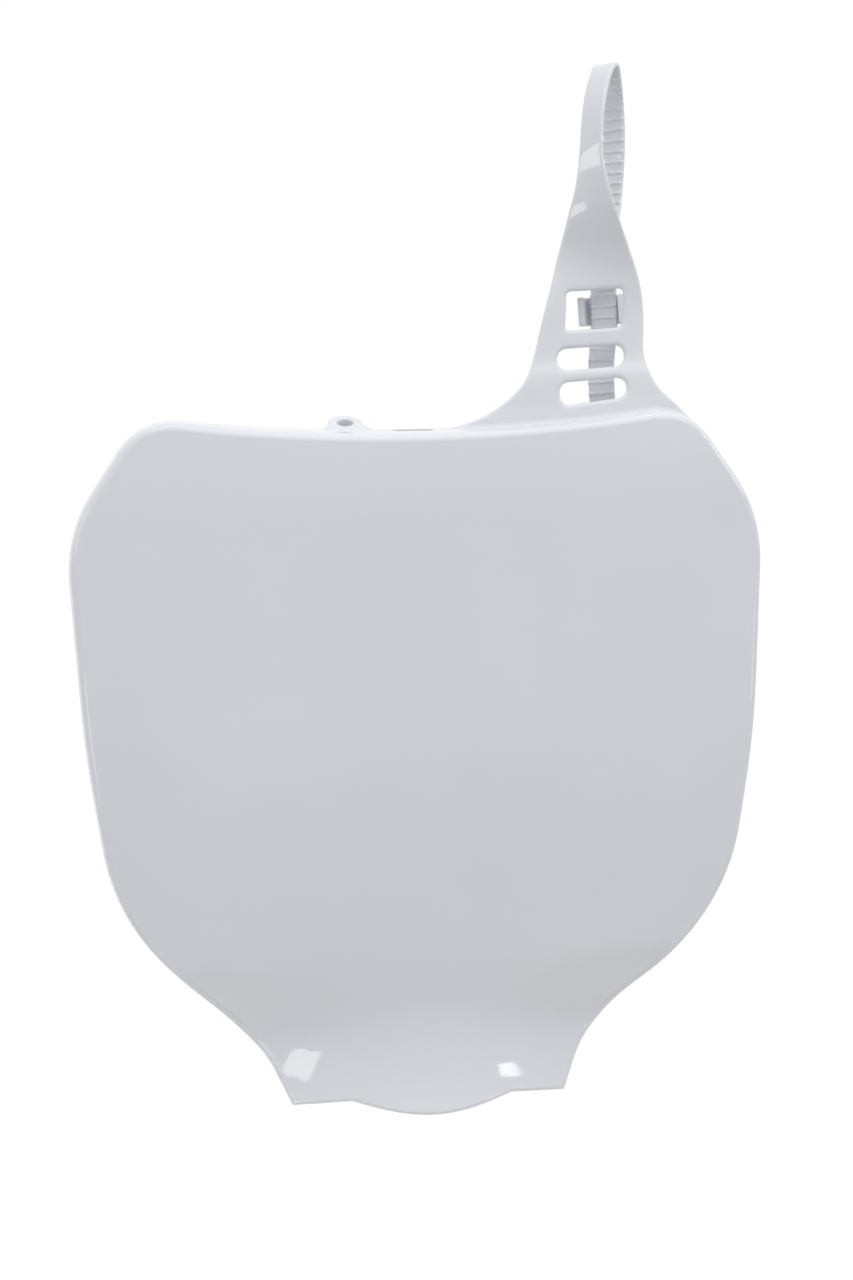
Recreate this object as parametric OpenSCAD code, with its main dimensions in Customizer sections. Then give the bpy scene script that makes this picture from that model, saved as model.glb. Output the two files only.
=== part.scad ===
/* [Plate outline] */
// Width across the shoulders
plate_w = 240; // [226:1:260]
// Height from the top corners down to the horn tips
plate_h = 241; // [225:1:256]
// Width of the top edge, corner to corner
top_w = 187.5; // [176:0.5:200]
// How far the middle of the top edge dips below its corners
top_dip = 6.2; // [3:0.2:10]
// Radius of the two top corners
corner_r = 22.5; // [16:0.5:26]
// Height of the sloped shoulders
shoulder_drop = 38.7; // [36:0.1:46]
// How far the shoulders' drawn corners reach beyond the width, before rounding
shoulder_out = 0; // [0:0.1:3]
// Radius of the shoulders
shoulder_r = 50; // [40:1:60]
// How far each side has come in from the shoulders half way down
side_in = 4.1; // [1:0.1:8]
// Level of that place below the top corners
side_drop = 112; // [100:1:120]
// How far each hip, where the side turns in, has come in from the shoulders
hip_in = 12.5; // [8:0.1:18]
// Height of the hips above the horn tips
hip_rise = 69.8; // [62:0.2:74]
// Radius of the long curve down the sides
side_r = 420; // [300:10:600]
// Radius of the hips
hip_r = 74.5; // [60:0.5:80]
// Width of the neck
neck_w = 111.9; // [104:0.1:116]
// Height of the neck above the horn tips
neck_rise = 15.8; // [13:0.2:19]
// Radius of the hollow curve into the neck
neck_r = 39.6; // [34:0.2:44]
// Width from one horn tip to the other
horn_w = 96.7; // [92:0.1:102]
// Width of the rounded tongue between the horns
tongue_w = 56; // [46:0.5:62]
// How far the tongue hangs below its notches
tongue_drop = 4.6; // [3:0.2:8]
// How far the notches lie above the horn tips
notch_rise = 2; // [1:0.2:4]

/* [Plate form] */
// Wall of the moulding
wall = 2.4; // [1.8:0.1:3]
// Depth of the rim at the middle of the top edge
rim_mid = 14.6; // [12:0.2:17]
// Depth of the rim at the top corners
rim_corner = 7.1; // [6:0.1:10]
// Depth of the rim at the hips
rim_hip = 6; // [5.5:0.1:9]
// Depth of the rim at the neck
rim_neck = 5.5; // [5:0.1:7]
// How much deeper the rim is than the wall at the horns
rim_land = 0.8; // [0.6:0.1:1.4]
// Lean of the rim, opening towards the back
rim_lean = 8; // [5:0.5:14]
// Radius of the edge between face and rim
edge_r = 3.3; // [2.4:0.1:4]
// How far the shoulders sit behind the middle of the face
bow = 9; // [5:0.5:18]
// How far the face rolls back at its top edge
roll = 3; // [0:0.5:5]
// Height of that roll
roll_h = 36; // [20:1:50]
// How far the lower face tucks back before the neck
tuck = 14; // [6:0.5:18]
// Level where the tuck starts
tuck_drop = 100; // [80:1:120]
// Height above the horn tips where the neck starts to sweep forward
sweep_h = 37; // [30:1:44]
// How far the horns sweep forward
sweep = 8; // [4:0.5:14]
// How far the horns curl back from the middle of the neck
neck_bow = 14; // [6:0.5:16]
// Height above the horn tips where that curl starts
neck_bow_h = 55; // [45:1:65]
// How far the tongue bulges in front of the horns
tongue_bulge = 2; // [0:0.5:6]
// Width of that bulge as a share of the tongue's width
bulge_share = 1.25; // [1:0.05:1.5]

/* [Tab] */
// Distance of the tab from the middle of the plate
tab_x = 61.4; // [54:0.2:64]
// Width of the tab
tab_w = 35.4; // [31:0.2:40]
// Height of the tab before it narrows to the strap
tab_h = 24; // [22:1:28]
// Height over which it narrows
narrow_h = 66; // [58:1:70]
// How far the foot flares to the left
flare_left = 20; // [12:0.5:24]
// How far the foot flares to the right
flare_right = 10.2; // [6:0.2:14]
// Height over which the flares die out
flare_h = 7.8; // [5:0.2:10]
// Radius where the tab rises from the rim
foot_r = 2.4; // [1:0.2:3.6]
// Backward lean of the tab where it starts to narrow
tab_lean = 6; // [2:0.5:8]
// Width of the two lower slots
slot_w = 23.2; // [18:0.2:25]
// Height of the two lower slots
slot_h = 7.2; // [6:0.2:8]
// Centre of the lowest slot above the top corners
slot_z = 5.4; // [5:0.2:7]
// Step from one slot to the next
slot_step = 11.4; // [11:0.2:13]
// Width of the window above the slots
window_w = 19.6; // [17:0.2:22]
// Height of the window
window_h = 13.2; // [11:0.2:14]
// Radius of the window's corners
window_r = 1.5; // [1:0.1:3]
// Centre of the window above the top corners
window_z = 33.4; // [32:0.2:35]
// Tilt of the slots, right side up
slot_tilt = 2.8; // [0:0.2:6]
// Rise of the slots from back to front
slot_rise = 8; // [0:0.5:10]

/* [Strap] */
// Width of the strap
strap_w = 9.2; // [8:0.1:11]
// Thickness of the strap between its teeth
strap_t = 1.7; // [1.4:0.1:2.4]
// Height of the top of the loop above the top corners
loop_z = 117; // [108:1:128]
// Depth of the loop, front strand to back strand
loop_d = 24.4; // [18:0.2:28]
// Shift of the top of the loop to the right
loop_side = 8.8; // [4:0.2:12]
// Twist of the strap at the top of the loop
loop_turn = 51; // [0:1:56]
// Twist of the tail and of its keeper
tail_turn = 26; // [0:1:30]
// Gap between tab and tail at the window, middle to middle
tail_gap = 12; // [11:0.2:15]
// Level of the end of the tail below the top corners
tail_end = 14; // [6:1:20]
// Step from tooth to tooth
tooth_step = 3.8; // [3:0.1:5]
// Height of a tooth
tooth_h = 0.8; // [0.4:0.1:1.2]
// Width of a tooth at its root
tooth_w = 1.4; // [1:0.1:2]

/* [Keeper] */
// Height of the keeper behind the window
keeper_h = 10; // [8:0.5:12]
// Wall of the keeper
keeper_t = 2.3; // [1.8:0.1:3]
// Gap between the strap's edges and the keeper
keeper_gap = 1.4; // [0.6:0.1:2]
// Length of the keeper's free lip
keeper_lip = 8; // [5:0.5:9]
// Gap between the strap's back and the keeper
seat_gap = 0.5; // [0.4:0.1:0.8]

/* [Eyelet] */
// Distance of the eyelet from the middle of the plate
eye_x = 24; // [18:0.5:34]
// Bore of the eyelet
eye_bore = 5.5; // [4:0.1:6.5]
// Width of the eyelet
eye_w = 11.8; // [10:0.2:14]
// Distance of the bore behind the rim
eye_reach = 4.8; // [4:0.2:7]
// Thickness of the eyelet
eye_t = 3.2; // [2.4:0.1:4]
// Radius of the hollow curves at the eyelet's feet
eye_foot_r = 3.8; // [2:0.1:5]
// Upward tilt of the eyelet
eye_tilt = 25; // [10:1:30]
// Length of the tie slit in the rim
slit_l = 14; // [10:0.5:18]
// Width of the tie slit
slit_w = 4; // [2:0.2:5]
// Distance of the tie slit from the middle, to the eyelet's side
slit_x = 1.7; // [-2:0.1:4]
// Land left behind the tie slit
slit_land = 1.6; // [1.2:0.1:2.4]

/* [Hidden] */
half_w = plate_w / 2;
// Longest turn of an arc between two points, and longest stretch between them
arc_step = 7;
long_step = 11;
// Least part of the rim's depth over the edge radius, and the same for the inside
edge_share = 2.4;
inner_land = 0.4;
$fn = 48;

function unit(v) = v / norm(v);
function smooth(a, b, v) = let (t = min(1, max(0, (v - a) / (b - a)))) t * t * (3 - 2 * t);
function blend(a, b, t) = a + (b - a) * t;

// Arc of radius r that rounds the corner at b between a and c
function rounded(a, b, c, r) =
  let (u = unit(a - b), v = unit(c - b), open = acos(u * v) / 2, reach = r / tan(open))
  let (o = b + unit(u + v) * r / sin(open), p = b + u * reach - o, q = b + v * reach - o)
  let (from = atan2(p.y, p.x), opened = 180 - 2 * open, side = sign(p.x * q.y - p.y * q.x))
  let (n = max(2, ceil(opened / arc_step), ceil(r * opened * PI / 180 / long_step)))
  [for (i = [0:n]) let (t = from + side * opened * i / n) o + r * [cos(t), sin(t)]];

// Extra points on stretches longer than long_step
function filled(pts) =
  [for (i = [0:len(pts) - 2])
    let (n = ceil(norm(pts[i + 1] - pts[i]) / long_step))
    for (k = [0:n - 1]) blend(pts[i], pts[i + 1], k / n)];

// Level of the top edge, an even dip between the corners
function top_z(x) = -top_dip * (1 - pow(x / (top_w / 2), 2));

// Right half of the outline, from the middle of the top edge to the bottom of the tongue
corner = [top_w / 2, 0];
shoulder = [half_w + shoulder_out, -shoulder_drop];
side = [half_w - side_in, -side_drop];
hip = [half_w - hip_in, hip_rise - plate_h];
neck = [neck_w / 2, neck_rise - plate_h];
horn = [horn_w / 2, -plate_h];
notch = [tongue_w / 2, notch_rise - plate_h];
inner_top = [top_w / 2 - corner_r, top_z(top_w / 2 - corner_r)];
half_outline = filled(concat(
  [for (i = [0:8]) let (x = i / 9 * inner_top.x) [x, top_z(x)]],
  rounded(inner_top, corner, shoulder, corner_r),
  rounded(corner, shoulder, side, shoulder_r),
  rounded(shoulder, side, hip, side_r),
  rounded(side, hip, neck, hip_r),
  rounded(hip, neck, horn, neck_r),
  [horn],
  [for (i = [0:8]) let (x = notch.x * (1 - i / 8)) [x, notch.y - tongue_drop * cos(90 * x / notch.x)]]
));
bottom = [0, notch.y - tongue_drop];
n_half = len(half_outline);
outline = concat(
  half_outline,
  [bottom],
  [for (i = [n_half - 1:-1:1]) [-half_outline[i].x, half_outline[i].y]]
);
n_out = len(outline);

// Outline point i moved inwards by d, along the bisector of its two sides
function inset(i, d) =
  let (a = outline[(i + n_out - 1) % n_out], b = outline[i], c = outline[(i + 1) % n_out])
  let (u = unit(b - a), v = unit(c - b), m = unit([u.y + v.y, -u.x - v.x]))
  b + m * d / (m * [u.y, -u.x]);

// Level where the neck starts to sweep forward
sweep_drop = plate_h - sweep_h;

// Level of the outline above a place on the top edge or on its corner
top_edge = [for (p = half_outline) if (-p.y < shoulder_drop / 2) [p.x, p.y]];
function rim_z(x) = lookup(abs(x), top_edge);

// Depth of the front face at a point of the outline plane, negative towards the front
function face_y(p) =
  let (x = p.x, z = p.y, drop = max(0, (-z - sweep_drop) / sweep_h))
  let (low = min(1.2, max(0, (-z - plate_h + neck_bow_h) / neck_bow_h)))
  bow * pow(x / half_w, 2)
  + roll * pow(max(0, 1 + z / roll_h), 2)
  + tuck * pow(max(0, (-z - tuck_drop) / (sweep_drop - tuck_drop)), 2)
  - sweep * drop * drop
  - tuck_gain(z)
  + neck_bow * pow(x / horn.x, 2) * low * low * (3 - 2 * min(1, low))
  - tongue_bulge * pow(max(0, 1 - pow(2 * x / (tongue_w * bulge_share), 2)), 2) * min(1, drop)
  - rim_mid;

// The tuck levels out where the neck sweeps forward
function tuck_gain(z) =
  let (over = max(0, -z - sweep_drop), span = sweep_drop - tuck_drop)
  tuck * (pow((over + span) / span, 2) - 1 - 2 * over / span) * (over > 0 ? 1 : 0);

// Depth of the rim at outline point p
function rim_depth(p) =
  -p.y < shoulder_drop
    ? blend(rim_mid, rim_corner, min(1, pow(p.x / (top_w / 2), 2)))
    : lookup(-p.y, [
        [shoulder_drop, rim_corner], [-hip.y, rim_hip], [-neck.y, rim_neck], [plate_h, wall + rim_land]
      ]);

// Rings of the shell at outline point i: the rounded edge, the rim, its back edge and the inside
function section(i) =
  let (deep = rim_depth(outline[i]), r = min(edge_r, deep / edge_share))
  let (e_out = (deep - r * (1 - sin(rim_lean))) * tan(rim_lean), e_face = e_out + r * cos(rim_lean))
  let (y = face_y(inset(i, e_face)), e_in = max(e_face, e_out + wall + inner_land))
  concat(
    [for (t = [0, 1, 2]) let (a = 30 * t) [e_face - r * sin(a), y + r * (1 - cos(a))]],
    [[e_out, y + r * (1 - sin(rim_lean))], [0, y + deep], [wall, y + deep]],
    [[e_out + wall, y + wall + max(inner_land, r - wall)], [e_in, y + wall]]
  );

// Point of a ring, and the same point drawn in towards the middle of the face
mid = [0, -tuck_drop];
shrink = [0.2, 0.42, 0.6, 0.74, 0.84, 0.91, 0.96];
function at(p, y) = [p.x, y, p.y];
function ring(k) = [for (i = [0:n_out - 1]) let (s = section(i)[k]) at(inset(i, s[0]), s[1])];
function face_ring(k, s, lift) =
  [for (i = [0:n_out - 1]) let (p = blend(mid, inset(i, section(i)[k][0]), s)) at(p, face_y(p) + lift)];

// Closed skin through a list of equal rings, with a point at each end
function skin_faces(rings, n) = concat(
  [for (j = [0:n - 1]) [0, 1 + j, 1 + (j + 1) % n]],
  [for (k = [0:rings - 2], j = [0:n - 1])
    let (a = 1 + k * n + j, b = 1 + k * n + (j + 1) % n) each [[a, a + n, b + n], [a, b + n, b]]],
  [for (j = [0:n - 1]) let (base = 1 + (rings - 1) * n) [base + j, 1 + rings * n, base + (j + 1) % n]]
);

module shell() {
  last = len(section(0)) - 1;
  rings = concat(
    [for (s = shrink) face_ring(0, s, 0)],
    [for (k = [0:last]) ring(k)],
    [for (i = [len(shrink) - 1:-1:0]) face_ring(last, shrink[i], wall)]
  );
  polyhedron(
    concat([at(mid, face_y(mid))], [for (r = rings) each r], [at(mid, face_y(mid) + wall)]),
    skin_faces(len(rings), n_out)
  );
}

// Back edge of the rim at a point of the outline
function back_at(p) = face_y(p) + rim_depth(p);
function back_y(x) = back_at([x, top_z(x)]);
function rim_back(x) = back_at([x, rim_z(x)]);

// Middle of the tab's wall at its foot, a little inside the back edge of the rim
tab_inset = 0.5;
tab_y = back_y(tab_x) - wall / 2 - tab_inset;
foot_z = top_z(tab_x);
foot_sink = wall * 0.8;

// Knots of the tab: to the right, share of its lean, height
tab_knots = [
  [0, 0, foot_z - foot_sink], [0, 0, foot_z + 3], [0, 0.15, 9],
  [0, 0.6, tab_h - 5], [2.6, 1, tab_h + 15], [2.5, 0.8, tab_h + 30]
];
// Knots of the loop in front of its top: to the right, back from the foot, above the top
front_knots = [[1, 1, -46], [0.7, -1, -28], [3.3, 2, -11]];
// Knots of the loop behind its top: to the right, beyond its depth, above the top
back_knots = [[13.4, -1.6, -10], [14.2, 0, -24], [11.9, -2, -44]];
// Knots of the tail: to the right, behind its gap, above the middle of the window
tail_knots = [[7.8, 3.4, 24], [6.8, 0.2, 6], [6.8, 0, -6], [5.1, -1.4, -20], [5.1, -2.8, -35]];
tail = tail_knots[2];
tail_tip = tail_knots[4];

// Route of tab and strap: to the right, back from the foot, up
route = concat(
  [for (k = tab_knots) [k.x, k.y * tab_lean, k.z]],
  [for (k = front_knots) [k.x, k.y, loop_z + k.z]],
  [[loop_side, loop_d * 0.42, loop_z]],
  [for (k = back_knots) [k.x, loop_d + k.y, loop_z + k.z]],
  [for (k = tail_knots) [k.x, tail_gap + k.y, window_z + k.z]],
  [[tail_tip.x, tail_gap + tail_tip.y, -tail_end]]
);
top_knot = len(tab_knots) + len(front_knots);

// Smooth curve through four neighbouring points
function through(a, b, c, d, t) =
  0.5 * (2 * b + (c - a) * t + (2 * a - 5 * b + 4 * c - d) * t * t + (3 * b - a - 3 * c + d) * t * t * t);
last_knot = len(route) - 1;
function route_at(u) =
  let (i = min(last_knot - 1, floor(u)))
  through(route[max(0, i - 1)], route[i], route[i + 1], route[min(last_knot, i + 2)], u - i);
function heading(u) = unit(route_at(min(last_knot, u + 0.02)) - route_at(max(0, u - 0.02)));

// Lengths along the route, and the place on it at a given length
fine = 12;
samples = [for (i = [0:last_knot * fine]) route_at(i / fine)];
lengths = [for (i = 0, run = 0; i < len(samples);
  i = i + 1, run = run + (i < len(samples) ? norm(samples[i] - samples[i - 1]) : 0)) run];
total = lengths[len(lengths) - 1];
function place(s) = lookup(s, [for (i = [0:len(lengths) - 1]) [lengths[i], i / fine]]);
apex_s = lengths[top_knot * fine];

// Height of the route at length s, and how far the tab has narrowed there
function level(s) = route_at(place(s)).z;
function narrowed(s) = s > apex_s ? 1 : smooth(tab_h, tab_h + narrow_h, level(s));

// Half of the width with the flare of one side
function half_width(s, flare) =
  blend(tab_w / 2, strap_w / 2, narrowed(s)) + (s > apex_s ? 0 : flare * exp(-max(0, level(s)) / flare_h));
function thick(s) = blend(wall, strap_t, narrowed(s));

// Twist of the strap: from the tab up to the loop, then back down to the keeper
turn_lag = 6;
full_drop = 20;
keeper_rise = 12;
function turn(s) =
  s > apex_s
    ? blend(tail_turn, loop_turn, smooth(window_z + keeper_rise, loop_z - full_drop, level(s)))
    : loop_turn * smooth(tab_h + turn_lag, loop_z - full_drop, level(s));

// Stations: evenly up the tab and round the loop, then four to each tooth
first_tooth = 4;
last_tooth = 2;
tooth_flank = 0.3;
teeth_from = apex_s + first_tooth;
n_teeth = floor((total - teeth_from - last_tooth) / tooth_step);
climb = 40;
stations = concat(
  [[0, 0]],
  [for (i = [0:4]) [foot_sink + foot_r * (1 - cos(90 * i / 4)), 0]],
  [for (i = [1:climb]) [blend(foot_sink + foot_r, apex_s, i / climb), 0]],
  [for (k = [0:n_teeth - 1]) let (s = teeth_from + k * tooth_step)
    for (t = [[0, 0], [tooth_flank, 1], [1 - tooth_flank, 1], [1, 0]]) [s + tooth_w * t[0], tooth_h * t[1]]],
  [[total, 0]]
);

// Place of a point across the strap by w and off its middle by lift; near the rim it follows the rim
lean_h = 6;
function band_point(s, w, lift) =
  let (u = place(s), p = route_at(u), h = heading(u), a = turn(s), flat = [cos(a), -sin(a), 0])
  let (over = unit(flat - h * (flat * h) * narrowed(s)), q = p + unit(cross(h, over)) * lift)
  let (x = tab_x + q.x + w * over.x, near = s < apex_s ? exp(-max(0, q.z) / lean_h) : 0)
  [x, tab_y + q.y + w * over.y + (rim_back(x) - rim_back(tab_x)) * near,
    q.z + w * over.z + (rim_z(x) - foot_z) * near];

// Cross section at a station: inner side from left to right, then outer side back
shares = [-1, -0.5, 0, 0.55, 0.8, 1];
function band_section(st) =
  let (s = st[0], t = thick(s) / 2, h = min(foot_r, max(0, s - foot_sink)))
  let (toe = s < apex_s ? foot_r - sqrt(foot_r * foot_r - pow(foot_r - h, 2)) : 0)
  let (left = half_width(s, flare_left), right = half_width(s, flare_right))
  let (across = [for (k = shares) k * (k < 0 ? left : right)])
  concat(
    [for (w = across) band_point(s, w, t + st[1])],
    [for (i = [len(across) - 1:-1:0]) band_point(s, across[i], -t - toe)]
  );

module tab_and_strap() {
  n = 2 * len(shares);
  m = len(stations);
  end = (m - 1) * n;
  polyhedron(
    [for (st = stations) each band_section(st)],
    concat(
      [for (j = [0:len(shares) - 2]) each [[n - 1 - j, j + 1, j], [n - 1 - j, n - 2 - j, j + 1]]],
      [for (k = [0:m - 2], j = [0:n - 1])
        let (a = k * n + j, b = k * n + (j + 1) % n) each [[a, b, b + n], [a, b + n, a + n]]],
      [for (j = [0:len(shares) - 2])
        each [[end + j, end + j + 1, end + n - 1 - j], [end + j + 1, end + n - 2 - j, end + n - 1 - j]]]
    )
  );
}

// How far the slots' tools reach through the wall, and the part of a slot's height that rounds its ends
cut_l = 3 * wall;
end_share = 0.45;

// Rounded slot, cut square to the leaning tab
module slot(w, h, r, z) {
  lean = tab_lean * lookup(z, [for (k = tab_knots) [k.z, k.y]]);
  translate([tab_x, tab_y + lean, z]) rotate([0, -slot_tilt, 0]) rotate([90 - slot_rise, 0, 0])
    linear_extrude(cut_l, center = true) {
      square([w - 2 * r, h], center = true);
      square([w, h - 2 * r], center = true);
      for (sx = [-1, 1], sz = [-1, 1])
        translate([sx * (w / 2 - r), sz * (h / 2 - r)]) circle(r);
    }
}

module tab_cuts() {
  for (i = [0, 1]) slot(slot_w, slot_h, slot_h * end_share, slot_z + i * slot_step);
  slot(window_w, window_h, window_r, window_z);
}

// Share of the tab's lean at which the keeper's leg starts
keeper_root = 0.9;

// Open hook behind the window that holds the tail, drawn about the middle of the tail
module keeper() {
  inner = strap_w / 2 + keeper_gap;
  back = strap_t / 2 + seat_gap;
  start = (tab_lean * keeper_root - tail_gap + inner * sin(tail_turn)) / cos(tail_turn);
  translate([tab_x + tail.x, tab_y + tail_gap, window_z]) rotate([0, -slot_tilt, 0]) rotate(-tail_turn)
    linear_extrude(keeper_h, center = true) {
      translate([-inner - keeper_t, back]) square([2 * inner + 2 * keeper_t, keeper_t]);
      translate([-inner - keeper_t, back + keeper_t - keeper_lip]) square([keeper_t, keeper_lip]);
      translate([inner, start]) square([keeper_t, back + keeper_t - start]);
    }
}

// How deep the eyelet's foot reaches into the rim, and how far its bore's cutter overshoots
eye_sink = 3;
bore_over = 2;

// Eyelet plate, with hollow curves at its feet
module eyelet() {
  edge = eye_w / 2;
  foot = edge + eye_foot_r;
  curve = rounded([foot + eye_foot_r, 0], [edge, 0], [edge, eye_foot_r * 2], eye_foot_r);
  right = concat([[foot, -eye_sink]], curve, [[edge, eye_reach]]);
  left = [for (i = [len(right) - 1:-1:0]) [-right[i].x, right[i].y]];
  linear_extrude(eye_t) {
    polygon(concat(right, left));
    translate([0, eye_reach]) circle(eye_w / 2);
  }
}

eye_foot = [-eye_x, back_y(eye_x), top_z(eye_x) - wall];
module at_eye() {
  translate(eye_foot) rotate([eye_tilt, 0, 0]) children();
}

module tie_slit() {
  y = back_y(slit_x) - slit_land - slit_w / 2;
  reach = (slit_l - slit_w) / 2;
  translate([-slit_x, y, top_z(slit_x) - 3 * wall]) linear_extrude(5 * wall) {
    square([2 * reach, slit_w], center = true);
    for (s = [-1, 1]) translate([s * reach, 0]) circle(slit_w / 2);
  }
}

// Middle of the eyelet's bore
eye_at = eye_foot + [
  0,
  eye_reach * cos(eye_tilt) - eye_t / 2 * sin(eye_tilt),
  eye_reach * sin(eye_tilt) + eye_t / 2 * cos(eye_tilt)
];

// The board in one piece, with the middle of the eyelet's bore at the origin
module number_board() {
  color("whitesmoke") translate(-eye_at) difference() {
    union() {
      shell();
      tab_and_strap();
      keeper();
      at_eye() eyelet();
    }
    tab_cuts();
    tie_slit();
    at_eye() translate([0, eye_reach, -bore_over]) cylinder(d = eye_bore, h = eye_t + 2 * bore_over);
  }
}

number_board();
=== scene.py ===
# A white motorcycle number board with its tab, toothed strap, keeper and eyelet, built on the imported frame.
# Every shape is worked out in plate millimetres: x across from the middle, y back, and z up from the level of
# the top corners. meshFrom turns them to metres about the frame's origin, the middle of the eyelet's bore.
import math
import bpy
import numpy as np
from mathutils import Matrix, Vector


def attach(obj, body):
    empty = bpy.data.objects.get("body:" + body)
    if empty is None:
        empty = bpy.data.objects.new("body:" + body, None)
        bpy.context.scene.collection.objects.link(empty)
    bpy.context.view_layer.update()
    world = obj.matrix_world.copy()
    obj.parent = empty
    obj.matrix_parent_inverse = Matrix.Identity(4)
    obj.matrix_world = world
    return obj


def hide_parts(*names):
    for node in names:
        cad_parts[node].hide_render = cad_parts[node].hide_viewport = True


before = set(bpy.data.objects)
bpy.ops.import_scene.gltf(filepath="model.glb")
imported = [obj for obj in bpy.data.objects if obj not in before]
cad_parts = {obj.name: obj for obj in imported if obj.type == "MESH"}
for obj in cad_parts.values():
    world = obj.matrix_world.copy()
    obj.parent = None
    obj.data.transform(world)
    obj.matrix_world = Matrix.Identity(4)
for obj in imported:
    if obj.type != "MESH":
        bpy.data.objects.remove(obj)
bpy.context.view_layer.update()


def linear(text):
    # an sRGB hex colour turned to linear values
    c = np.array([int(text[i:i + 2], 16) / 255 for i in (1, 3, 5)])
    return tuple(np.where(c < 0.04045, c / 12.92, ((c + 0.055) / 1.055) ** 2.4)) + (1.0,)


def smooth(a, b, v):
    # from 0 at a to 1 at b: three squares of the share of the way, less two cubes of it
    t = np.clip((v - a) / (b - a), 0, 1)
    return t * t * (3 - 2 * t)


def gentle(a, b, v):
    # as smooth, but with no jump in curvature at its ends, which would show as a line on a glossy face
    t = np.clip((v - a) / (b - a), 0, 1)
    return t ** 3 * (t * (6 * t - 15) + 10)


def blend(a, b, t):
    # the share t of the way from a to b
    return a + (b - a) * t


plate = dict(
    width=240, height=241, topWidth=187.5, topDip=6.2, cornerR=22.5, step=2.2, tipClear=4,
    shoulderDrop=38.7, shoulderR=50, shoulderOut=-0.09, sideWidth=231.8, sideDrop=112, sideR=420,
    hipWidth=215, hipRise=69.8, hipR=74.5, neckWidth=111.9, neckRise=15.8, neckR=39.6,
    hornWidth=96.7, tongueWidth=56, tongueDrop=4.6, notchRise=2,
    rimMid=14.6, rimCorner=7.1, rimHip=6, rimNeck=5.5, hornRim=3.2,      # how deep the rim is at those places
    wall=2.4, lean=8, edgeR=3.3, edgeLimit=2.4, softR=0.5, innerR=0.4,   # softR rounds the rim's rear edge
    bow=9, roll=3, rollHeight=36, tuck=14, tuckDrop=100, sweepHeight=37, sweep=10.5,
    neckBow=10.4, neckBowHeight=55, neckBowRun=38, bulge=2, bulgeWidth=1.25,
    hipCurl=3, hipCurlWidth=100, hipCurlDrop=70, hipCurlRun=100, hipCurlEnd=(185, 225),
    faceRings=46, edgeRings=11, rimRings=7, softRings=6, innerRings=5)
p = plate


def rounded(a, b, c, r, step=2.0):
    # the corner at b, between a and c, as an arc of radius r with a point every step millimetres, and at least
    # every five degrees. Its middle is r over the sine of half the corner's angle away from b
    a, b, c = (np.array(v, float) for v in (a, b, c))
    u = (a - b) / np.linalg.norm(a - b)
    v = (c - b) / np.linalg.norm(c - b)
    half = math.acos(u @ v) / 2
    middle = b + (u + v) / np.linalg.norm(u + v) * r / math.sin(half)
    first = b + u * r / math.tan(half) - middle
    last = b + v * r / math.tan(half) - middle
    turn = math.pi - 2 * half
    n = max(4, int(math.ceil(max(turn * r / step, math.degrees(turn) / 5))))
    way = np.sign(first[0] * last[1] - first[1] * last[0])
    t = math.atan2(first[1], first[0]) + way * turn * np.arange(n + 1) / n
    return middle + r * np.stack([np.cos(t), np.sin(t)], 1)


def topZ(x):
    # the top edge: a parabola, lowest in the middle
    return -p["topDip"] * (1 - (x / (p["topWidth"] / 2)) ** 2)


def plateOutline():
    # clockwise from the middle of the top edge: rounded corners, with straight lines between them, down to the
    # horn's tip, the tongue's edge as a cosine, each long line divided evenly, and then the mirror of it all
    corner = [p["topWidth"] / 2, 0]
    shoulder = [p["width"] / 2 + p["shoulderOut"], -p["shoulderDrop"]]
    side = [p["sideWidth"] / 2, -p["sideDrop"]]
    hip = [p["hipWidth"] / 2, p["hipRise"] - p["height"]]
    neck = [p["neckWidth"] / 2, p["neckRise"] - p["height"]]
    horn = [p["hornWidth"] / 2, -p["height"]]
    notchX, notchZ = p["tongueWidth"] / 2, p["notchRise"] - p["height"]
    inner = corner[0] - p["cornerR"]
    x = np.linspace(0, inner, 40)[:-1]
    t = notchX * (1 - np.arange(26) / 26)
    half = np.vstack([
        np.stack([x, topZ(x)], 1), rounded([inner, topZ(inner)], corner, shoulder, p["cornerR"], 1.0),
        rounded(corner, shoulder, side, p["shoulderR"]), rounded(shoulder, side, hip, p["sideR"]),
        rounded(side, hip, neck, p["hipR"]), rounded(hip, neck, horn, p["neckR"], 1.5), [horn],
        np.stack([t, notchZ - p["tongueDrop"] * np.cos(math.pi / 2 * t / notchX)], 1)])
    legs = np.diff(half, axis=0)
    count = np.maximum(1, np.ceil(np.linalg.norm(legs, axis=1) / p["step"])).astype(int)
    leg = np.repeat(np.arange(len(legs)), count)
    place = np.arange(count.sum()) - np.repeat(np.cumsum(count) - count, count)
    half = np.vstack([half[leg] + legs[leg] * place[:, None] / count[leg][:, None], half[-1:]])
    far = np.linalg.norm(half - horn, axis=1)
    half = half[(far > p["tipClear"]) | (far < 0.01)]      # next to the tip, points would cross when moved in
    return np.vstack([half, [[0, notchZ - p["tongueDrop"]]], half[1:][::-1] * [-1, 1]])


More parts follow.
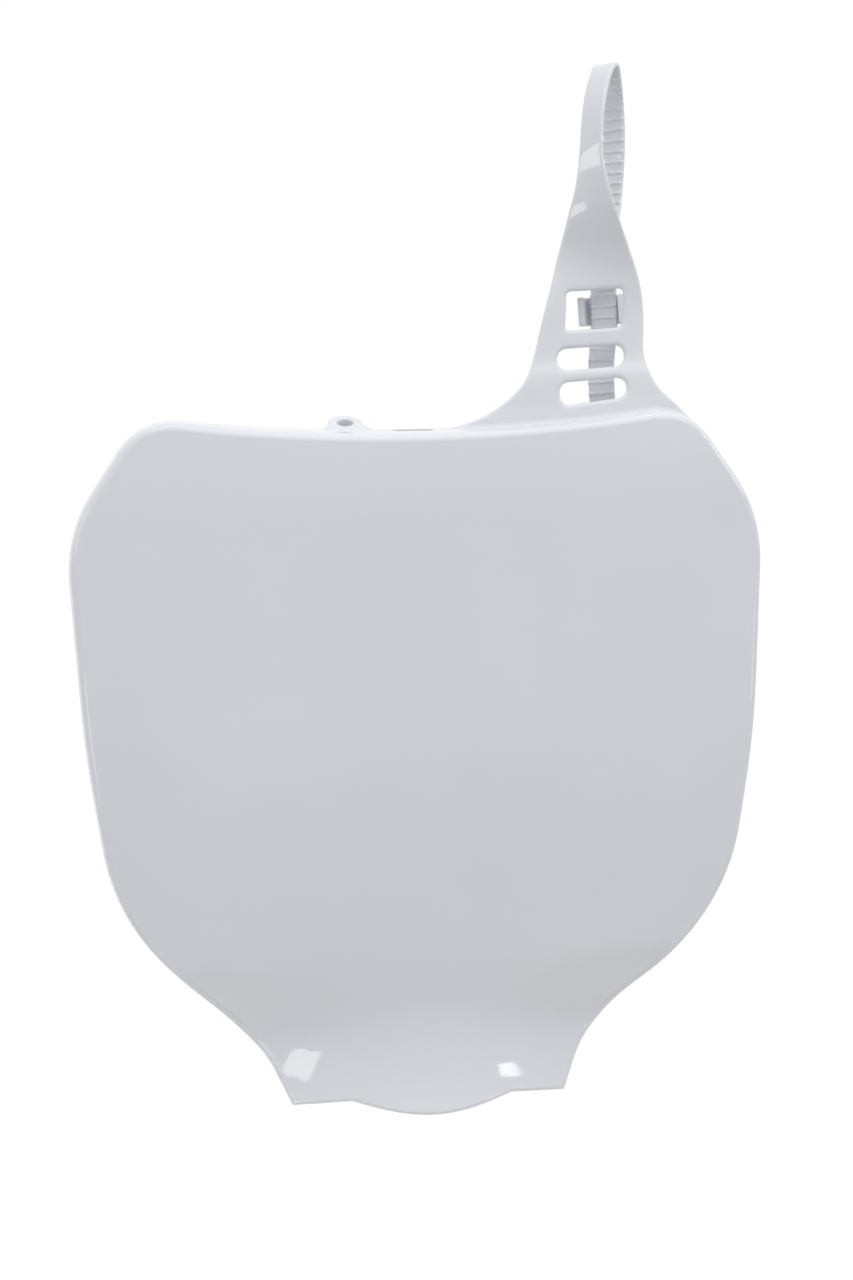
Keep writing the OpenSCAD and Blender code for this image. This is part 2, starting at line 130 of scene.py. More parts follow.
def faceY(x, z):
    # how far back the face is: a bow by the square of x, a roll at the top edge by the square of the height, and
    # a tuck below by the square of the drop. On the neck the tuck runs on straight, the neck is swept forward
    # by the square of its drop and bowed more, and the tongue bulges. The hips curl back a little
    start = p["height"] - p["sweepHeight"]
    drop = np.maximum(0, (-z - start) / p["sweepHeight"])
    span = start - p["tuckDrop"]
    over = np.maximum(0, -z - start)
    y = p["bow"] * (x / (p["width"] / 2)) ** 2 + p["roll"] * np.maximum(0, 1 + z / p["rollHeight"]) ** 2
    y = y + p["tuck"] * np.maximum(0, (-z - p["tuckDrop"]) / span) ** 2 - p["sweep"] * drop ** 2
    y = y - p["tuck"] * np.where(over > 0, ((over + span) / span) ** 2 - 1 - 2 * over / span, 0)
    curl = p["height"] - p["neckBowHeight"]
    y = y + p["neckBow"] * (x / (p["hornWidth"] / 2)) ** 2 * gentle(curl, curl + p["neckBowRun"], -z)
    hip = np.maximum(0, (-z - p["hipCurlDrop"]) / p["hipCurlRun"]) ** 2
    y = y + p["hipCurl"] * (x / p["hipCurlWidth"]) ** 2 * hip * (1 - gentle(*p["hipCurlEnd"], -z))
    hump = np.maximum(0, 1 - (2 * x / (p["tongueWidth"] * p["bulgeWidth"])) ** 2) ** 2
    return y - p["bulge"] * hump * np.minimum(1, drop) - p["rimMid"]


def rimDepth(x, z):
    # at the top it goes from rimMid to rimCorner with the square of x, and below it follows straight lines
    h = p["height"]
    top = blend(p["rimMid"], p["rimCorner"], np.minimum(1, (x / (p["topWidth"] / 2)) ** 2))
    low = np.interp(-z, [p["shoulderDrop"], h - p["hipRise"], h - p["neckRise"], h],
                    [p["rimCorner"], p["rimHip"], p["rimNeck"], p["hornRim"]])
    return np.where(-z < p["shoulderDrop"], top, low)


def backY(x):
    # the rear edge of the top rim: the face's place plus the rim's depth
    return faceY(x, topZ(x)) + rimDepth(x, topZ(x))


# at each point of the outline, the line that halves its angle, longer at corners so that both sides move alike
outline = plateOutline()
before = outline - np.roll(outline, 1, 0)
after = np.roll(outline, -1, 0) - outline
before /= np.linalg.norm(before, axis=1)[:, None]
after /= np.linalg.norm(after, axis=1)[:, None]
inward = np.stack([before[:, 1] + after[:, 1], -before[:, 0] - after[:, 0]], 1)
inward /= np.linalg.norm(inward, axis=1)[:, None]
inward /= (inward[:, 0] * before[:, 1] - inward[:, 1] * before[:, 0])[:, None]
topPart = outline[(outline[:, 0] >= 0) & (-outline[:, 1] < p["shoulderDrop"] / 2)]
topEdge = topPart[np.argsort(topPart[:, 0])]


def inset(d):
    # the outline moved inwards by d: each point plus d times its inward line
    return outline + inward * np.asarray(d)[..., None]


def rimZ(x):
    # level of the outline at a place on the top edge or on its corner
    return np.interp(np.abs(x), topEdge[:, 0], topEdge[:, 1])


def rimBack(x):
    # the rim's rear edge at that place: the face's place plus the rim's depth
    return faceY(x, rimZ(x)) + rimDepth(x, rimZ(x))


def ring(points, y):
    # points of the outline's plane, set at depth y
    return np.stack([points[:, 0], y + 0 * points[:, 0], points[:, 1]], 1)


# the origin is the eyelet's bore: from its foot, reach along the tilted tongue and half its thickness up
lug = dict(x=24, reach=4.8, thick=3.2, tilt=math.radians(25), bore=5.5, width=11.8, footR=5.5, footDrop=0.9,
           sink=3, edge=0.7, boreEdge=0.4, sideSpare=0.5, spare=0.3, grid=0.3)
lugFoot = np.array([-lug["x"], backY(lug["x"]), topZ(lug["x"]) - p["wall"]])
lugUp, lugBack = math.sin(lug["tilt"]), math.cos(lug["tilt"])
origin = lugFoot + [0, lug["reach"] * lugBack - lug["thick"] / 2 * lugUp,
                    lug["reach"] * lugUp + lug["thick"] / 2 * lugBack]
print("origin", origin)


def meshFrom(name, points, faces):
    # a smooth-shaded object at the origin, unturned, with its place in its points
    mesh = bpy.data.meshes.new(name)
    mesh.from_pydata(((points - origin) / 1000).tolist(), [], faces)
    mesh.validate()
    mesh.shade_smooth()
    made = bpy.data.objects.new(name, mesh)
    bpy.context.scene.collection.objects.link(made)
    return made


def ringFaces(count, n, first=0):
    # four-sided faces between rings of n points laid one after the other, wound so that they face outwards
    row, j = np.meshgrid(np.arange(count - 1), np.arange(n), indexing="ij")
    a, b = first + row * n + j, first + row * n + (j + 1) % n
    return np.stack([a, a + n, b + n, b], -1).reshape(-1, 4).tolist()


def fieldMesh(field, low, high, step):
    # the surface where a signed distance is zero: each cell of a grid that it passes through gets one point, the
    # mean of where it crosses the cell's edges, and three times the distance over the slope moves it closer
    axes = [np.arange(a - step, b + 2 * step, step) for a, b in zip(low, high)]
    grid = np.meshgrid(*axes, indexing="ij")
    value = field(*grid)
    inside = value < 0
    total = np.zeros([n - 1 for n in value.shape] + [3])
    count = np.zeros([n - 1 for n in value.shape])
    for axis in range(3):
        others = [n for n in range(3) if n != axis]
        a = np.moveaxis(value, axis, 0)[:-1]
        b = np.moveaxis(value, axis, 0)[1:]
        crossed = (a < 0) != (b < 0)
        share = np.where(crossed, a / np.where(crossed, a - b, 1), 0)
        at = np.stack([np.moveaxis(g, axis, 0)[:-1] for g in grid], -1)
        at[..., axis] += share * step
        at *= crossed[..., None]
        at, crossed = np.moveaxis(at, 0, axis), np.moveaxis(crossed, 0, axis)
        for i, j in [(0, 0), (1, 0), (0, 1), (1, 1)]:      # the four edges of a cell that run along this axis
            pick = [slice(None)] * 3
            pick[others[0]] = slice(i, value.shape[others[0]] - 1 + i)
            pick[others[1]] = slice(j, value.shape[others[1]] - 1 + j)
            total += at[tuple(pick)]
            count += crossed[tuple(pick)]
    used = count > 0
    index = np.full(used.shape, -1)
    index[used] = np.arange(used.sum())
    points = total[used] / count[used][:, None]
    faces = []
    for axis in range(3):
        u, v = (axis + 1) % 3, (axis + 2) % 3
        a = np.moveaxis(inside, [axis, u, v], [0, 1, 2])
        cells = np.moveaxis(index, [axis, u, v], [0, 1, 2])
        flips = a[:-1, 1:-1, 1:-1] != a[1:, 1:-1, 1:-1]
        quad = np.stack([cells[:, :-1, :-1], cells[:, 1:, :-1], cells[:, 1:, 1:], cells[:, :-1, 1:]], -1)[flips]
        leaving = a[:-1, 1:-1, 1:-1][flips]
        faces.append(np.where(leaving[:, None], quad, quad[:, ::-1]))
    h = step * 0.05
    for _ in range(3):
        f = field(*points.T)
        slope = [(field(*(points + e).T) - field(*(points - e).T)) / (2 * h) for e in np.eye(3) * h]
        slope = np.stack(slope, 1)
        move = (f / np.maximum((slope ** 2).sum(1), 0.05))[:, None] * slope
        points = points - np.clip(move, -step, step)
    return points, np.vstack(faces)


def shellPiece():
    # one closed skin of rings, each the outline moved inwards and set at a depth: out over the face, round the
    # crease, back along the leaning rim, round its rear edge, and the same way back inside, a wall further in
    wall, soft = p["wall"], p["softR"]
    deep = rimDepth(outline[:, 0], outline[:, 1])
    r = np.minimum(p["edgeR"], deep / p["edgeLimit"])                    # sharper where the rim is shallow
    lean = math.radians(p["lean"])
    toRim = (deep - r * (1 - math.sin(lean))) * math.tan(lean)
    toFace = toRim + r * math.cos(lean)
    crease = inset(toFace)
    y = faceY(crease[:, 0], crease[:, 1])
    rimEnd = y + deep
    mid = np.array([0, -p["tuckDrop"]])
    rings = []
    shares = 1 - (1 - np.linspace(0.02, 1, p["faceRings"])[:-1]) ** 1.6  # closer together towards the crease
    for share in shares:
        q = mid + (crease - mid) * share
        rings.append(ring(q, faceY(q[:, 0], q[:, 1])))
    for a in np.linspace(0, math.pi / 2 - lean, p["edgeRings"]):
        rings.append(ring(inset(toFace - r * math.sin(a)), y + r * (1 - math.cos(a))))
    for t in np.linspace(0, 1, p["rimRings"])[1:-1]:
        rings.append(ring(inset(toRim * (1 - t)), blend(y + r * (1 - math.sin(lean)), rimEnd - soft, t)))
    for a in np.radians(np.linspace(0, 90, p["softRings"])):
        rings.append(ring(inset(soft * (1 - math.cos(a))), rimEnd - soft * (1 - math.sin(a))))
    for a in np.radians(np.linspace(0, 90, p["softRings"])):
        rings.append(ring(inset(wall - soft * (1 - math.sin(a))), rimEnd - soft * (1 - math.cos(a))))
    inEdge = y + wall + np.maximum(p["innerR"], r - wall)
    for t in np.linspace(0, 1, p["rimRings"] - 1)[1:]:
        rings.append(ring(inset(wall + toRim * t), blend(rimEnd - soft, inEdge, t)))
    toInner = np.maximum(toFace, toRim + wall + p["innerR"])
    for t in np.linspace(0, 1, p["innerRings"])[1:]:
        a = t * math.pi / 2
        rings.append(ring(inset(toRim + wall + (toInner - toRim - wall) * (1 - math.cos(a))),
                          blend(inEdge, y + wall, math.sin(a))))
    inner = inset(toInner)
    for share in shares[::-1]:
        q = mid + (inner - mid) * share
        rings.append(ring(q, faceY(q[:, 0], q[:, 1]) + wall))
    front = np.array([[0, faceY(0, mid[1]), mid[1]]])
    points = np.vstack([front] + rings + [front + [0, wall, 0]])
    n = len(outline)
    j, base = np.arange(n), 1 + (len(rings) - 1) * n
    faces = ringFaces(len(rings), n, first=1)
    faces += np.stack([0 * j, 1 + j, 1 + (j + 1) % n], 1).tolist()
    faces += np.stack([base + j, 0 * j + len(points) - 1, base + (j + 1) % n], 1).tolist()
    return meshFrom("shell", points, faces)


slit = dict(x=-1.7, length=14, width=4, land=1.6, low=-16.0, high=0.0, sides=48)


def cutSlit(board):
    # a slot with round ends through the top rim, cut with an upright prism: a circle as wide as the slot, whose
    # right half is moved to the right and whose left half to the left
    n, r = slit["sides"], slit["width"] / 2
    reach = (slit["length"] - slit["width"]) / 2
    a = np.radians(np.arange(n) * 360 / n)
    x = slit["x"] + np.where(np.cos(a) >= 0, reach, -reach) + r * np.cos(a)
    y = backY(slit["x"]) - slit["land"] - r + r * np.sin(a)
    points = np.vstack([np.stack([x, y, 0 * x + z], 1) for z in (slit["low"], slit["high"])])
    j = np.arange(n)
    sides = np.stack([j, (j + 1) % n, n + (j + 1) % n, n + j], 1).tolist()
    tool = meshFrom("slit tool", points, sides + [j[::-1].tolist(), (n + j).tolist()])
    cut = board.modifiers.new("slit", "BOOLEAN")
    cut.operation, cut.solver, cut.object = "DIFFERENCE", "EXACT", tool
    done = bpy.data.meshes.new_from_object(board.evaluated_get(bpy.context.evaluated_depsgraph_get()))
    board.modifiers.clear()
    board.data = done
    bpy.data.objects.remove(tool)
    done.set_sharp_from_angle(angle=math.radians(35))


shell = shellPiece()
cutSlit(shell)
print("shell", len(shell.data.polygons))


band = dict(
    tabX=61.4, tabWidth=35.4, tabHeight=24, narrow=66, inset=0.5, edge=0.9,
    leftFlare=20, leftFlareHeight=7.8, rightFlare=10.2, rightFlareHeight=7.8,
    toe=2.4, toeDrop=1.15, lean=6, leanHeight=6,           # toe is the hollow curve at the tab's foot
    strapWidth=9.2, strapThick=1.7, loopZ=116.75, loopDepth=24.4, loopClear=20, topSide=8.8, topBack=10.2,
    twist=math.radians(51), tailTurn=math.radians(26), turnLag=6, tailGap=12, tailEnd=14, tailClear=12,
    toothStep=3.8, toothHeight=0.8, toothWidth=1.6, firstTooth=4, lastTooth=2,
    slotWidth=23.2, slotHeight=7.2, slotZ=5.4, slotStep=11.4, slotTilt=math.radians(2.8),
    windowWidth=19.6, windowHeight=13.2, windowZ=33.4, windowR=1.5,
    spare=0.5, endSpare=0.4, grid=0.335)
b = band
slotR = b["slotHeight"] * 0.45
footZ = topZ(b["tabX"])
tabY = backY(b["tabX"]) - p["wall"] / 2 - b["inset"]
sink = p["wall"] * 0.8

# the tab's openings: width, height, corner radius and level
openings = [(b["slotWidth"], b["slotHeight"], slotR, b["slotZ"]),
            (b["slotWidth"], b["slotHeight"], slotR, b["slotZ"] + b["slotStep"]),
            (b["windowWidth"], b["windowHeight"], b["windowR"], b["windowZ"])]

# knots of the strap's route: to the side, back, and up. The tab's start at its foot and count up from the top
# corners, the two strands' count from the loop's crest, and the tail's from the window's middle
tabKnots = [(0, 0, footZ - sink), (0, 0, footZ + 3), (0, 0.15 * b["lean"], 9),
            (0, 0.6 * b["lean"], b["tabHeight"] - 5), (2.6, b["lean"], b["tabHeight"] + 15),
            (2.5, 0.97 * b["lean"], b["tabHeight"] + 30)]
frontKnots = [(1, -0.9, -46), (0.7, -1.6, -28), (3.3, 2, -11)]
backKnots = [(13.4, -1.6, -10), (14.2, 0, -24), (11.9, -2, -44)]
tailKnots = [(7.8, 3.4, 24), (6.8, 0.2, 6), (6.8, 0, -6), (5.1, -1.4, -20), (5.1, -2.8, -35)]
route = np.array(tabKnots + [(x, y, b["loopZ"] + z) for x, y, z in frontKnots]
                 + [(b["topSide"], b["topBack"], b["loopZ"])]
                 + [(x, b["loopDepth"] + y, b["loopZ"] + z) for x, y, z in backKnots]
                 + [(x, b["tailGap"] + y, b["windowZ"] + z) for x, y, z in tailKnots]
                 + [(tailKnots[-1][0], b["tailGap"] + tailKnots[-1][1], -b["tailEnd"])])
topKnot = len(tabKnots) + len(frontKnots)

# the route as a smooth cubic curve through its knots, sampled finely, with the length run and its heading
u = np.linspace(0, len(route) - 1, 9001)
i = np.minimum(u.astype(int), len(route) - 2)
t = (u - i)[:, None]
k0, k1, k2, k3 = (route[np.clip(i + n, 0, len(route) - 1)] for n in (-1, 0, 1, 2))
path = 0.5 * (2 * k1 + (k2 - k0) * t + (2 * k0 - 5 * k1 + 4 * k2 - k3) * t ** 2
              + (3 * k1 - k0 - 3 * k2 + k3) * t ** 3)
run = np.concatenate([[0], np.cumsum(np.linalg.norm(np.diff(path, axis=0), axis=1))])
topRun, length = np.interp(topKnot, u, run), run[-1]
heading = np.gradient(path, run, axis=0)
heading /= np.linalg.norm(heading, axis=1)[:, None]

# along the run: how far the tab has become strap, the half widths with the flares, the thickness and the turn
z = path[:, 2]
climb = np.where(run > topRun, 1, smooth(b["tabHeight"], b["tabHeight"] + b["narrow"], z))
halfWidth = blend(b["tabWidth"] / 2, b["strapWidth"] / 2, climb)
above = np.maximum(footZ, z)
leftWidth = halfWidth + np.where(run > topRun, 0, b["leftFlare"] * np.exp(-above / b["leftFlareHeight"]))
rightWidth = halfWidth + np.where(run > topRun, 0, b["rightFlare"] * np.exp(-above / b["rightFlareHeight"]))
leftSlope, rightSlope = np.gradient(leftWidth, run), np.gradient(rightWidth, run)
thick = blend(p["wall"], b["strapThick"], climb)
loopFoot = b["loopZ"] - b["loopClear"]
frontTurn = b["twist"] * smooth(b["tabHeight"] + b["turnLag"], loopFoot, z)
backTurn = blend(b["tailTurn"], b["twist"], smooth(b["windowZ"] + b["tailClear"], loopFoot, z))
turned = np.where(run < topRun, frontTurn, backTurn)
firstTooth = topRun + b["firstTooth"]
teeth = int((length - firstTooth - b["lastTooth"]) / b["toothStep"])


def along(table, s):
    # a table's value where the length run is s
    return np.interp(s, run, table)


def roundedBox(x, y, r):
    # signed distance of a corner, where x and y are the distances outside its two sides and r rounds it
    return np.hypot(np.maximum(x + r, 0), np.maximum(y + r, 0)) + np.minimum(np.maximum(x + r, y + r), 0) - r


def smoothMin(a, b, size):
    # two fields as one, less a square of how close they are, which fills a hollow curve where they meet
    h = np.maximum(size - np.abs(a - b), 0) / size
    return np.minimum(a, b) - h * h * size / 4


def roundedCut(a, hole, size):
    # a without the hole, plus a square of how close their sides are, which rounds the edge over
    h = np.maximum(size - np.abs(a + hole), 0) / size
    return np.maximum(a, -hole) + h * h * size / 4


def bandField(w, s, n):
    # the band laid flat: w across it, s along it, and n out from the middle of its thickness, on the side of the
    # teeth. It is a wall with a cosine ridge for each tooth and a quarter circle at its foot, less the openings
    thin = along(thick, s) / 2
    side = np.maximum((-w - along(leftWidth, s)) / np.hypot(1, along(leftSlope, s)),
                      (w - along(rightWidth, s)) / np.hypot(1, along(rightSlope, s)))
    since = (s - firstTooth) % b["toothStep"]
    ridge = 0.5 - 0.5 * np.cos(2 * math.pi * np.clip(since / b["toothWidth"], 0, 1))
    ridge = b["toothHeight"] * ridge * ((s > firstTooth) & (s < firstTooth + teeth * b["toothStep"]))
    rise = np.clip(s - sink + b["toeDrop"], 0, b["toe"])                 # the toe ends on the leaning rim
    toe = np.where(s < topRun, b["toe"] - np.sqrt(b["toe"] ** 2 - (b["toe"] - rise) ** 2), 0)
    flat = np.maximum(n - thin - ridge, -n - thin - toe)
    d = roundedBox(side, flat, np.minimum(b["edge"], thin * 0.85))
    z = along(path[:, 2], s)
    for width, height, r, level in openings:
        across = w * math.cos(b["slotTilt"]) + (z - level) * math.sin(b["slotTilt"])
        up = (z - level) * math.cos(b["slotTilt"]) - w * math.sin(b["slotTilt"])
        hole = roundedBox(np.abs(across) - width / 2, np.abs(up) - height / 2, r)
        hole = np.where(s < topRun, hole, 50)              # far off for the strand behind, which has none
        d = roundedCut(d, hole, b["edge"] * 2)
    return np.maximum(np.maximum(d, s - length), -s)


def bend(w, s, n):
    # from flat to the real place: the route's point at s, plus w across it and n out from it, both turned about
    # the upright. Near the foot it moves up and back as the rim's edge does, less and less with the height
    at = np.stack([along(path[:, axis], s) for axis in range(3)], 1)
    ahead = np.stack([along(heading[:, axis], s) for axis in range(3)], 1)
    a = along(turned, s)
    across = np.stack([np.cos(a), -np.sin(a), 0 * a], 1)
    across -= ahead * ((across * ahead).sum(1) * along(climb, s))[:, None]
    across /= np.linalg.norm(across, axis=1)[:, None]
    out = np.cross(ahead, across)
    q = at + out / np.linalg.norm(out, axis=1)[:, None] * n[:, None]
    near = np.where(s < topRun, np.exp(-np.maximum(0, q[:, 2]) / b["leanHeight"]), 0)
    q += across * w[:, None]
    x = b["tabX"] + q[:, 0]
    y = tabY + q[:, 1] + (rimBack(x) - rimBack(b["tabX"])) * near
    return np.stack([x, y, q[:, 2] + (rimZ(x) - footZ) * near], 1)


def strapPiece():
    # the flat band's surface, bent into place; the bend mirrors it, so its faces are turned over
    wide = max(leftWidth.max(), rightWidth.max()) + b["spare"]
    deep = p["wall"] / 2 + b["toe"]
    low, high = (-wide, -b["endSpare"], -deep), (wide, length + b["endSpare"], deep)
    flat, faces = fieldMesh(bandField, low, high, b["grid"])
    return meshFrom("tab_and_strap", bend(*flat.T), faces[:, ::-1].tolist())


strap = strapPiece()
print("tab and strap", len(strap.data.polygons))


keeper = dict(height=10, wall=2.3, gap=1.4, lip=8, seat=0.5, root=0.9, edge=0.5, join=1.2,
              spare=0.5, spaceY=(-7, 5), spaceZ=(-6, 6), grid=0.35)


def keeperField(x, y, z):
    # an open hook seen from above, as three bars joined with hollow curves: one behind the strap, a free lip on
    # the left, and a leg on the right that reaches forward to the tab
    turn, wall, edge = b["tailTurn"], keeper["wall"], keeper["edge"]
    inner, back = b["strapWidth"] / 2 + keeper["gap"], b["strapThick"] / 2 + keeper["seat"]
    start = (b["lean"] * keeper["root"] - b["tailGap"] + inner * math.sin(turn)) / math.cos(turn)
    end = back + wall
    bars = [(-inner - wall, inner + wall, back, end), (-inner - wall, -inner, end - keeper["lip"], end),
            (inner, inner + wall, start, end)]
    behind, lip, leg = (
        roundedBox(np.abs(x - (x0 + x1) / 2) - (x1 - x0) / 2, np.abs(y - (y0 + y1) / 2) - (y1 - y0) / 2, edge)
        for x0, x1, y0, y1 in bars)
    flat = smoothMin(smoothMin(behind, lip, keeper["join"]), leg, keeper["join"])
    return roundedBox(flat, np.abs(z) - keeper["height"] / 2, edge)


def keeperPiece():
    # turned about the upright as the strap's tail is, tilted as the openings are, and set behind the window
    side = b["strapWidth"] / 2 + keeper["gap"] + keeper["wall"] + keeper["spare"]
    low, high = ((s, y, z) for s, y, z in zip((-side, side), keeper["spaceY"], keeper["spaceZ"]))
    q, faces = fieldMesh(keeperField, low, high, keeper["grid"])
    turn, tilt = b["tailTurn"], b["slotTilt"]
    x = q[:, 0] * math.cos(turn) + q[:, 1] * math.sin(turn)
    y = q[:, 1] * math.cos(turn) - q[:, 0] * math.sin(turn)
    x, z = x * math.cos(tilt) - q[:, 2] * math.sin(tilt), x * math.sin(tilt) + q[:, 2] * math.cos(tilt)
    at = [b["tabX"] + tailKnots[2][0], tabY + b["tailGap"], b["windowZ"]]
    return meshFrom("keeper", np.stack([x, y, z], 1) + at, faces.tolist())


hook = keeperPiece()
print("keeper", len(hook.data.polygons))


def lugField(x, y, z):
    # a flat tongue with a round end and a bore, and on each side of its foot a hollow quarter circle, where it
    # gets thinner
    half = lug["width"] / 2
    stem = np.maximum(np.abs(x) - half, np.maximum(-lug["sink"] - y, y - lug["reach"]))
    flat = np.minimum(stem, np.hypot(x, y - lug["reach"]) - half)
    foot = np.maximum(np.maximum(np.abs(x) - half - lug["footR"], y - lug["footR"]), -lug["sink"] - y)
    hollow = lug["footR"] - np.hypot(np.abs(x) - half - lug["footR"], y - lug["footR"])
    flat = np.minimum(flat, np.maximum(foot, hollow))
    high = lug["thick"] - lug["footDrop"] * smooth(half, half + lug["footR"], np.abs(x))
    solid = roundedBox(flat, np.abs(z - high / 2) - high / 2, lug["edge"])
    return roundedCut(solid, np.hypot(x, y - lug["reach"]) - lug["bore"] / 2, lug["boreEdge"] * 2)


def lugPiece():
    # tilted up about its foot on the rim's rear edge
    wide, spare = lug["width"] / 2 + lug["footR"] + lug["sideSpare"], lug["spare"]
    low = (-wide, -lug["sink"] - spare, -spare)
    high = (wide, lug["reach"] + lug["width"] / 2 + spare, lug["thick"] + spare)
    q, faces = fieldMesh(lugField, low, high, lug["grid"])
    y = q[:, 1] * lugBack - q[:, 2] * lugUp
    z = q[:, 1] * lugUp + q[:, 2] * lugBack
    return meshFrom("eyelet", np.stack([q[:, 0], y, z], 1) + lugFoot, faces.tolist())


eyelet = lugPiece()
print("eyelet", len(eyelet.data.polygons))


def addNode(tree, kind, inputs=None, **settings):
    # one node with its settings; each input is a value, or another node's output, which is linked to it
    node = tree.nodes.new(kind)
    for key, value in settings.items():
        setattr(node, key, value)
    for key, value in (inputs or {}).items():
        if isinstance(value, bpy.types.NodeSocket):
            tree.links.new(value, node.inputs[key])
        else:
            node.inputs[key].default_value = value
    return node


# each pattern's waves in millimetres; real rub marks are finer, and are drawn as coarse as they need to show
plastic = dict(sink=45.4545, sinkDepth=0.06, peel=1.42857, peelDepth=0.002, rub=(16.6667, 16.6667, 1.11111),
               rubTurn=(0.2, 0.5, 0.1), shiny=0.05, rubbed=0.1, cloud=71.4286, dark="#e5e8ee", pale="#e8ebf0")


def whitePlastic(name):
    # glossy moulded polypropylene: slow sink marks and a fine orange peel bend its reflections, rub marks dull
    # them, and light spreads a little under the skin, so that thin walls and edges look soft
    made = bpy.data.materials.new(name)
    made.use_nodes = True
    tree = made.node_tree
    tree.nodes.clear()
    place = addNode(tree, "ShaderNodeTexCoord").outputs["Object"]
    sinks = addNode(tree, "ShaderNodeTexNoise", {"Vector": place, "Scale": 1000 / plastic["sink"],
                                                 "Detail": 1.0})
    peel = addNode(tree, "ShaderNodeTexNoise", {"Vector": place, "Scale": 1000 / plastic["peel"],
                                                "Detail": 2.0})
    slow = addNode(tree, "ShaderNodeBump", {"Height": sinks.outputs["Fac"], "Strength": 1.0,
                                            "Distance": plastic["sinkDepth"] / 1000})
    fine = addNode(tree, "ShaderNodeBump", {"Height": peel.outputs["Fac"], "Normal": slow.outputs["Normal"],
                                            "Strength": 1.0, "Distance": plastic["peelDepth"] / 1000})
    stretched = addNode(tree, "ShaderNodeMapping", {"Vector": place, "Rotation": plastic["rubTurn"],
                                                    "Scale": [1000 / size for size in plastic["rub"]]})
    rubs = addNode(tree, "ShaderNodeTexNoise", {"Vector": stretched.outputs["Vector"], "Scale": 1.0,
                                                "Detail": 3.0})
    gloss = addNode(tree, "ShaderNodeMapRange", {"Value": rubs.outputs["Fac"], "From Min": 0.35,
                                                 "From Max": 0.75, "To Min": plastic["shiny"],
                                                 "To Max": plastic["rubbed"]})
    clouds = addNode(tree, "ShaderNodeTexNoise", {"Vector": place, "Scale": 1000 / plastic["cloud"],
                                                  "Detail": 2.0})
    tone = addNode(tree, "ShaderNodeValToRGB", {"Fac": clouds.outputs["Fac"]})
    low, high = tone.color_ramp.elements
    low.position, high.position = 0.3, 0.7
    low.color, high.color = linear(plastic["dark"]), linear(plastic["pale"])
    skin = addNode(tree, "ShaderNodeBsdfPrincipled", {
        "Base Color": tone.outputs["Color"], "Roughness": gloss.outputs["Result"], "IOR": 1.49,
        "Normal": fine.outputs["Normal"], "Subsurface Weight": 0.12, "Subsurface Radius": (1.0, 0.9, 0.8),
        "Subsurface Scale": 0.0025})
    addNode(tree, "ShaderNodeOutputMaterial", {"Surface": skin.outputs["BSDF"]})
    return made


def palePaint(name):
    # matt floor paint with a faint mottle of about 33 mm, so that the floor doesn't look like a plain colour
    made = bpy.data.materials.new(name)
    made.use_nodes = True
    tree = made.node_tree
    tree.nodes.clear()
    place = addNode(tree, "ShaderNodeTexCoord").outputs["Object"]
    mottle = addNode(tree, "ShaderNodeTexNoise", {"Vector": place, "Scale": 30.0, "Detail": 3.0})
    tone = addNode(tree, "ShaderNodeValToRGB", {"Fac": mottle.outputs["Fac"]})
    low, high = tone.color_ramp.elements
    low.color, high.color = linear("#e9e9e8"), linear("#f1f1f0")
    skin = addNode(tree, "ShaderNodeBsdfPrincipled", {"Base Color": tone.outputs["Color"], "Roughness": 0.6})
    addNode(tree, "ShaderNodeOutputMaterial", {"Surface": skin.outputs["BSDF"]})
    return made


white = whitePlastic("white polypropylene")
for piece in (shell, strap, hook, eyelet):
    piece.data.materials.append(white)
    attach(piece, "root")
    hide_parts("number_board")
print("plastic on four pieces")

# the camera, as fitted to the photograph: its direction and roll in degrees, its distance from the point x, z
# in millimetres, and its focus in pixels of the picture's height
view = dict(az=-7.56, el=4.34, roll=1.45, distance=851, focus=2482, x=1.46, z=-78.35, sensor=24, pixels=1280)
a, e, turn = (math.radians(view[key]) for key in ("az", "el", "roll"))
back = np.array([math.sin(a) * math.cos(e), -math.cos(a) * math.cos(e), math.sin(e)])
side = np.array([math.cos(a), math.sin(a), 0])
up = np.cross(back, side)
right = side * math.cos(turn) - up * math.sin(turn)
up = np.cross(back, right)
eye = (np.array([view["x"], 0, view["z"]]) + back * view["distance"] - origin) / 1000
camera = bpy.data.objects.new("camera", bpy.data.cameras.new("camera"))
camera.matrix_world = Matrix([[*r, v] for r, v in zip(np.stack([right, up, back], 1), eye)] + [[0, 0, 0, 1]])
camera.data.sensor_fit = "VERTICAL"
camera.data.sensor_height = view["sensor"]
camera.data.lens = view["sensor"] * view["focus"] / view["pixels"]
camera.data.clip_start = 0.01
bpy.context.scene.collection.objects.link(camera)
bpy.context.scene.camera = camera

# a round floor under the hanging board, in metres
ground = dict(radius=0.5, x=0.02, z=-0.56)
turns = np.radians(np.arange(0, 360, 5))
disc = np.stack([ground["radius"] * np.cos(turns) + ground["x"], ground["radius"] * np.sin(turns),
                 0 * turns + ground["z"]], 1)
floor = bpy.data.objects.new("floor", bpy.data.meshes.new("floor"))
floor.data.from_pydata(disc.tolist(), [], [list(range(len(turns)))])
bpy.context.scene.collection.objects.link(floor)
floor.data.materials.append(palePaint("pale floor paint"))
print("camera and floor")


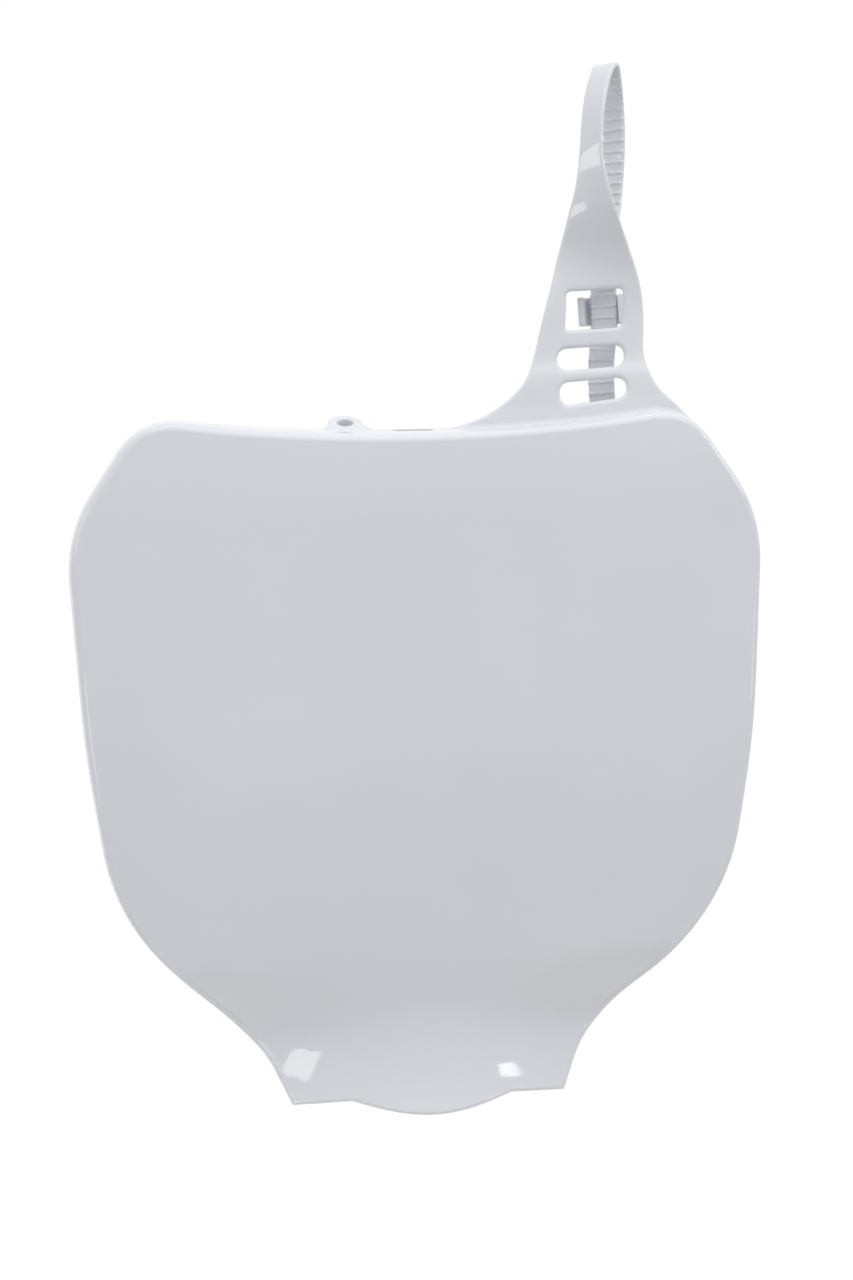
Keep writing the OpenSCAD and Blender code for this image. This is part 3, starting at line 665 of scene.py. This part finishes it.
def softBox(name, azimuth, elevation, distance, width, height, radiance, roll=0):
    # a lit panel that looks at the board's middle; its power is its radiance times pi and its area
    a, e = math.radians(azimuth), math.radians(elevation)
    aim = Vector((0.024, 0, -0.09))
    at = aim + Vector((math.sin(a) * math.cos(e), -math.cos(a) * math.cos(e), math.sin(e))) * distance
    lamp = bpy.data.lights.new(name, "AREA")
    lamp.shape, lamp.size, lamp.size_y = "RECTANGLE", width, height
    lamp.energy = radiance * math.pi * width * height
    made = bpy.data.objects.new(name, lamp)
    made.location = at
    turned = (aim - at).to_track_quat("-Z", "Y").to_matrix() @ Matrix.Rotation(math.radians(roll), 3, "Z")
    made.rotation_euler = turned.to_euler()
    bpy.context.scene.collection.objects.link(made)


# the low boxes make the small bright patches on the neck and the strap, and the others light the board softly
softBox("left low box", -45.7, -14.3, 1.25, 0.22, 0.36, 4.5, roll=15)
softBox("right low box", 45, -6.1, 1.23, 0.11, 0.13, 8.6, roll=-15)
softBox("left side box", -81, 16, 1.18, 0.26, 0.32, 3.6)
softBox("right side box", 76, 25, 1.3, 0.4, 0.4, 3.4)
softBox("top box", 20, 68, 1.5, 1.8, 1.8, 1.05)

# a white room: the camera and reflections see it evenly bright, and it lights the board more from above
room = dict(below=0.17, above=0.74, seen=1.0)
world = bpy.data.worlds.new("white room")
bpy.context.scene.world = world
world.use_nodes = True
tree = world.node_tree
tree.nodes.clear()
rays = addNode(tree, "ShaderNodeLightPath")
mirror = addNode(tree, "ShaderNodeMath", {0: rays.outputs["Is Glossy Ray"],
                                          1: rays.outputs["Is Transmission Ray"]}, operation="MAXIMUM")
shown = addNode(tree, "ShaderNodeMath", {0: rays.outputs["Is Camera Ray"], 1: mirror.outputs[0]},
                operation="MAXIMUM")
seen = addNode(tree, "ShaderNodeBackground", {"Color": (1, 1, 1, 1), "Strength": room["seen"]})
around = addNode(tree, "ShaderNodeTexCoord").outputs["Generated"]
skyward = addNode(tree, "ShaderNodeSeparateXYZ", {"Vector": around})
level = addNode(tree, "ShaderNodeMapRange", {"Value": skyward.outputs["Z"], "From Min": -1.0, "From Max": 1.0,
                                             "To Min": room["below"], "To Max": room["above"]})
lit = addNode(tree, "ShaderNodeBackground", {"Color": (1, 1, 1, 1), "Strength": level.outputs["Result"]})
pick = addNode(tree, "ShaderNodeMixShader", {0: shown.outputs[0], 1: lit.outputs[0], 2: seen.outputs[0]})
addNode(tree, "ShaderNodeOutputWorld", {"Surface": pick.outputs[0]})
bpy.context.scene.view_settings.view_transform = "Standard"
print("lights and room")
